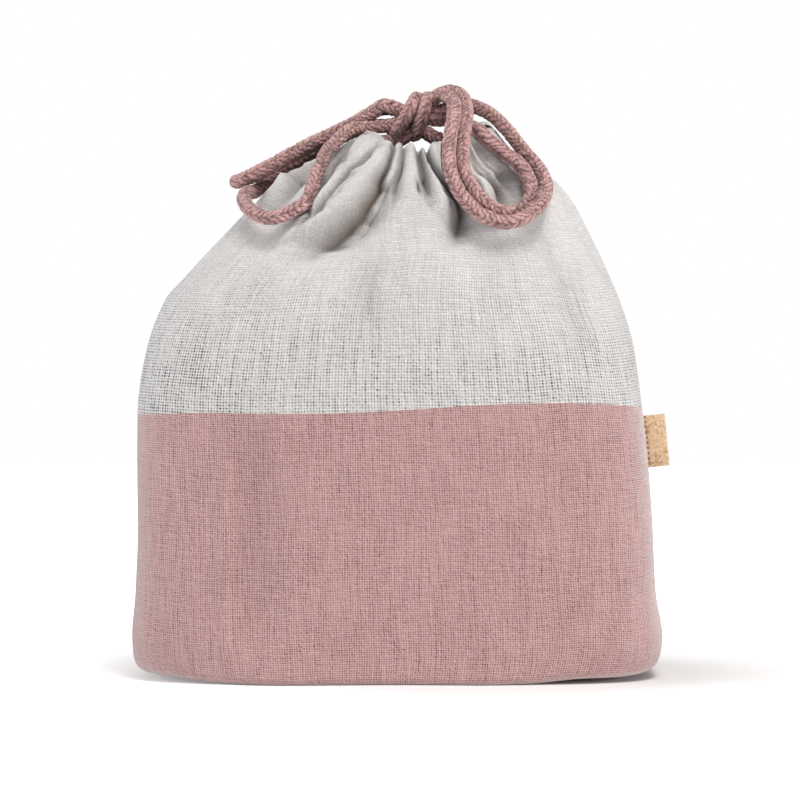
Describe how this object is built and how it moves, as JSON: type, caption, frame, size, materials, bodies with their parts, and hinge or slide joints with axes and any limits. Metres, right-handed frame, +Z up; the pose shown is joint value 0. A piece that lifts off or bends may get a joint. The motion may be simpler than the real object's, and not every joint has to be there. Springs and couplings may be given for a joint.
{
  "type": "bento bag",
  "caption": "Drawstring lunch bag of two-coloured cloth with a boxed base, a gathered neck, cords in a hem casing tied in a bow, and a folded tag in a side seam.",
  "frame": {"origin": "middle of the base, on the surface the bag stands on", "axes": "+Z up, +X to the right of the front, -Y to the front, where the loops of the bow hang"},
  "size_m": [0.2068, 0.1066, 0.2264],
  "materials": {
    "rose_cloth": "matt slubby plain weave",
    "natural_cloth": "matt slubby plain weave",
    "rose_cord": "matt braid",
    "cork": "matt speckled cork sheet"
  },
  "bodies": {
    "bag": {"base_panel": "rose_cloth", "lower_front_panel": "rose_cloth", "lower_back_panel": "rose_cloth", "left_side_seam": "rose_cloth", "right_side_seam": "rose_cloth", "left_cord_turn": "rose_cord", "right_cord_turn": "rose_cord"},
    "front_mouth": {"upper_front_panel": "natural_cloth", "front_casing": "natural_cloth", "left_cord_in_front_casing": "rose_cord", "right_cord_in_front_casing": "rose_cord", "left_front_lead": "rose_cord", "right_front_lead": "rose_cord", "left_back_lead": "rose_cord", "right_back_lead": "rose_cord", "bow_knot": "rose_cord"},
    "back_mouth": {"upper_back_panel": "natural_cloth", "back_casing": "natural_cloth", "left_cord_in_back_casing": "rose_cord", "right_cord_in_back_casing": "rose_cord"},
    "left_bow": {"left_outer_loop": "rose_cord", "left_inner_loop": "rose_cord"},
    "right_bow": {"right_outer_loop": "rose_cord", "right_inner_loop": "rose_cord"},
    "tag": {"cork_tag": "cork"}
  },
  "joints": [
    {"name": "front_mouth_open", "type": "hinge", "parent": "bag", "child": "front_mouth", "pos_m": [0, -0.053, 0.101], "axis": [1, 0, 0], "range_deg": [0, 8], "deforming": ["left_cord_turn", "right_cord_turn", "left_back_lead", "right_back_lead"]},
    {"name": "back_mouth_open", "type": "hinge", "parent": "bag", "child": "back_mouth", "pos_m": [0, 0.053, 0.101], "axis": [-1, 0, 0], "range_deg": [0, 8], "deforming": ["left_cord_turn", "right_cord_turn", "left_back_lead", "right_back_lead"]},
    {"name": "left_bow_lift", "type": "hinge", "parent": "front_mouth", "child": "left_bow", "pos_m": [0, -0.001, 0.214], "axis": [0, 1, 0], "range_deg": [0, 70], "deforming": ["left_outer_loop", "left_inner_loop"]},
    {"name": "right_bow_lift", "type": "hinge", "parent": "front_mouth", "child": "right_bow", "pos_m": [0.016, -0.004, 0.217], "axis": [-1, 0, 0], "range_deg": [0, 90], "deforming": ["right_outer_loop", "right_inner_loop"]},
    {"name": "tag_flap", "type": "hinge", "parent": "bag", "child": "tag", "pos_m": [0.09639, 0, 0.08895], "axis": [-0.101, 0, 0.9949], "range_deg": [-75, 75], "stiffness_Nm_per_rad": 0.0002}
  ],
  "couplings": [
    {"joint": "back_mouth_open", "follows": "front_mouth_open", "ratio": 1}
  ]
}
